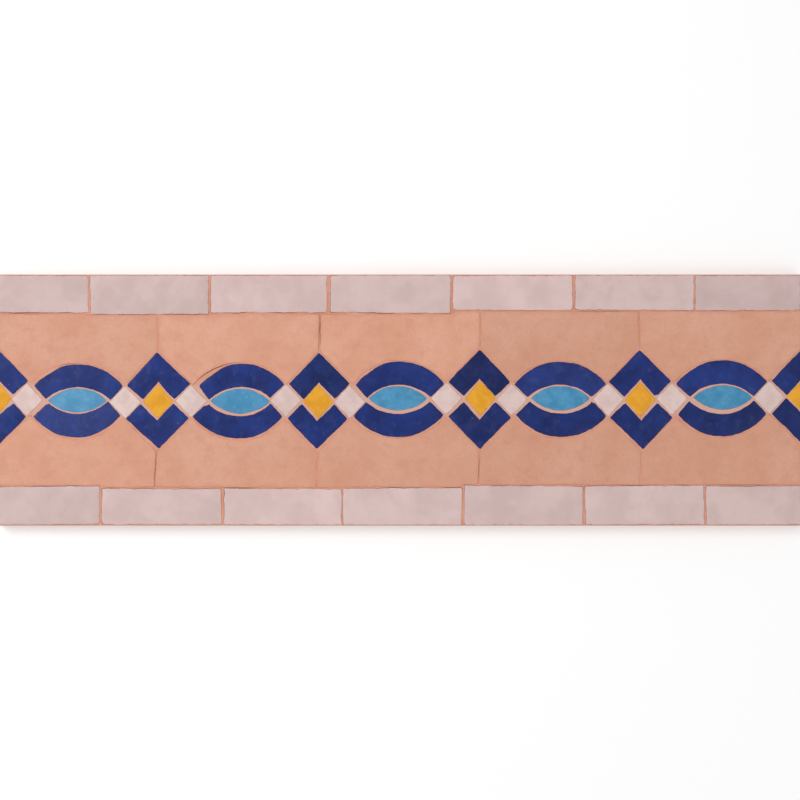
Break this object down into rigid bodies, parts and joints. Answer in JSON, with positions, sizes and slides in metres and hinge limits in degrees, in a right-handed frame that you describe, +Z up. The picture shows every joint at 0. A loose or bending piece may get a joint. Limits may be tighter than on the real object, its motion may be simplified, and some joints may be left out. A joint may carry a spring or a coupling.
{
  "type": "moroccan mosaic tile border panel",
  "caption": "Moroccan cut-tile border panel: navy, sky-blue, yellow and white glazed pieces in a terracotta field between rectangular liner tiles, set in a mortar bed for walls and floors.",
  "frame": {"origin": "middle of the underside of the mortar bed", "axes": "+X along the border, +Y across it towards the upper liner row, +Z up through the tile faces"},
  "size_m": [1, 0.312, 0.02],
  "materials": {
    "navy_glaze": "satin glaze",
    "sky_blue_glaze": "satin glaze",
    "yellow_glaze": "satin glaze",
    "white_glaze": "satin glaze",
    "liner_glaze": "satin glaze",
    "terracotta": "bare fired clay",
    "mortar": "tinted mortar"
  },
  "bodies": {
    "root": {"arc_lower_1": "navy_glaze", "arc_lower_2": "navy_glaze", "arc_lower_3": "navy_glaze", "arc_lower_4": "navy_glaze", "arc_lower_5": "navy_glaze", "arc_upper_1": "navy_glaze", "arc_upper_2": "navy_glaze", "arc_upper_3": "navy_glaze", "arc_upper_4": "navy_glaze", "arc_upper_5": "navy_glaze", "chevron_lower_1": "navy_glaze", "chevron_lower_2": "navy_glaze", "chevron_lower_3": "navy_glaze", "chevron_lower_4": "navy_glaze", "chevron_lower_5": "navy_glaze", "chevron_lower_6": "navy_glaze", "chevron_upper_1": "navy_glaze", "chevron_upper_2": "navy_glaze", "chevron_upper_3": "navy_glaze", "chevron_upper_4": "navy_glaze", "chevron_upper_5": "navy_glaze", "chevron_upper_6": "navy_glaze", "field_tile_lower_1": "terracotta", "field_tile_lower_2": "terracotta", "field_tile_lower_3": "terracotta", "field_tile_lower_4": "terracotta", "field_tile_lower_5": "terracotta", "field_tile_upper_1": "terracotta", "field_tile_upper_2": "terracotta", "field_tile_upper_3": "terracotta", "field_tile_upper_4": "terracotta", "field_tile_upper_5": "terracotta", "lens_1": "sky_blue_glaze", "lens_2": "sky_blue_glaze", "lens_3": "sky_blue_glaze", "lens_4": "sky_blue_glaze", "lens_5": "sky_blue_glaze", "liner_row_lower": "liner_glaze", "liner_row_upper": "liner_glaze", "mortar_bed": "mortar", "white_square_left_1": "white_glaze", "white_square_left_2": "white_glaze", "white_square_left_3": "white_glaze", "white_square_left_4": "white_glaze", "white_square_left_5": "white_glaze", "white_square_right_1": "white_glaze", "white_square_right_2": "white_glaze", "white_square_right_3": "white_glaze", "white_square_right_4": "white_glaze", "white_square_right_5": "white_glaze", "yellow_square_1": "yellow_glaze", "yellow_square_2": "yellow_glaze", "yellow_square_3": "yellow_glaze", "yellow_square_4": "yellow_glaze", "yellow_square_5": "yellow_glaze", "yellow_square_6": "yellow_glaze"}
  },
  "joints": []
}
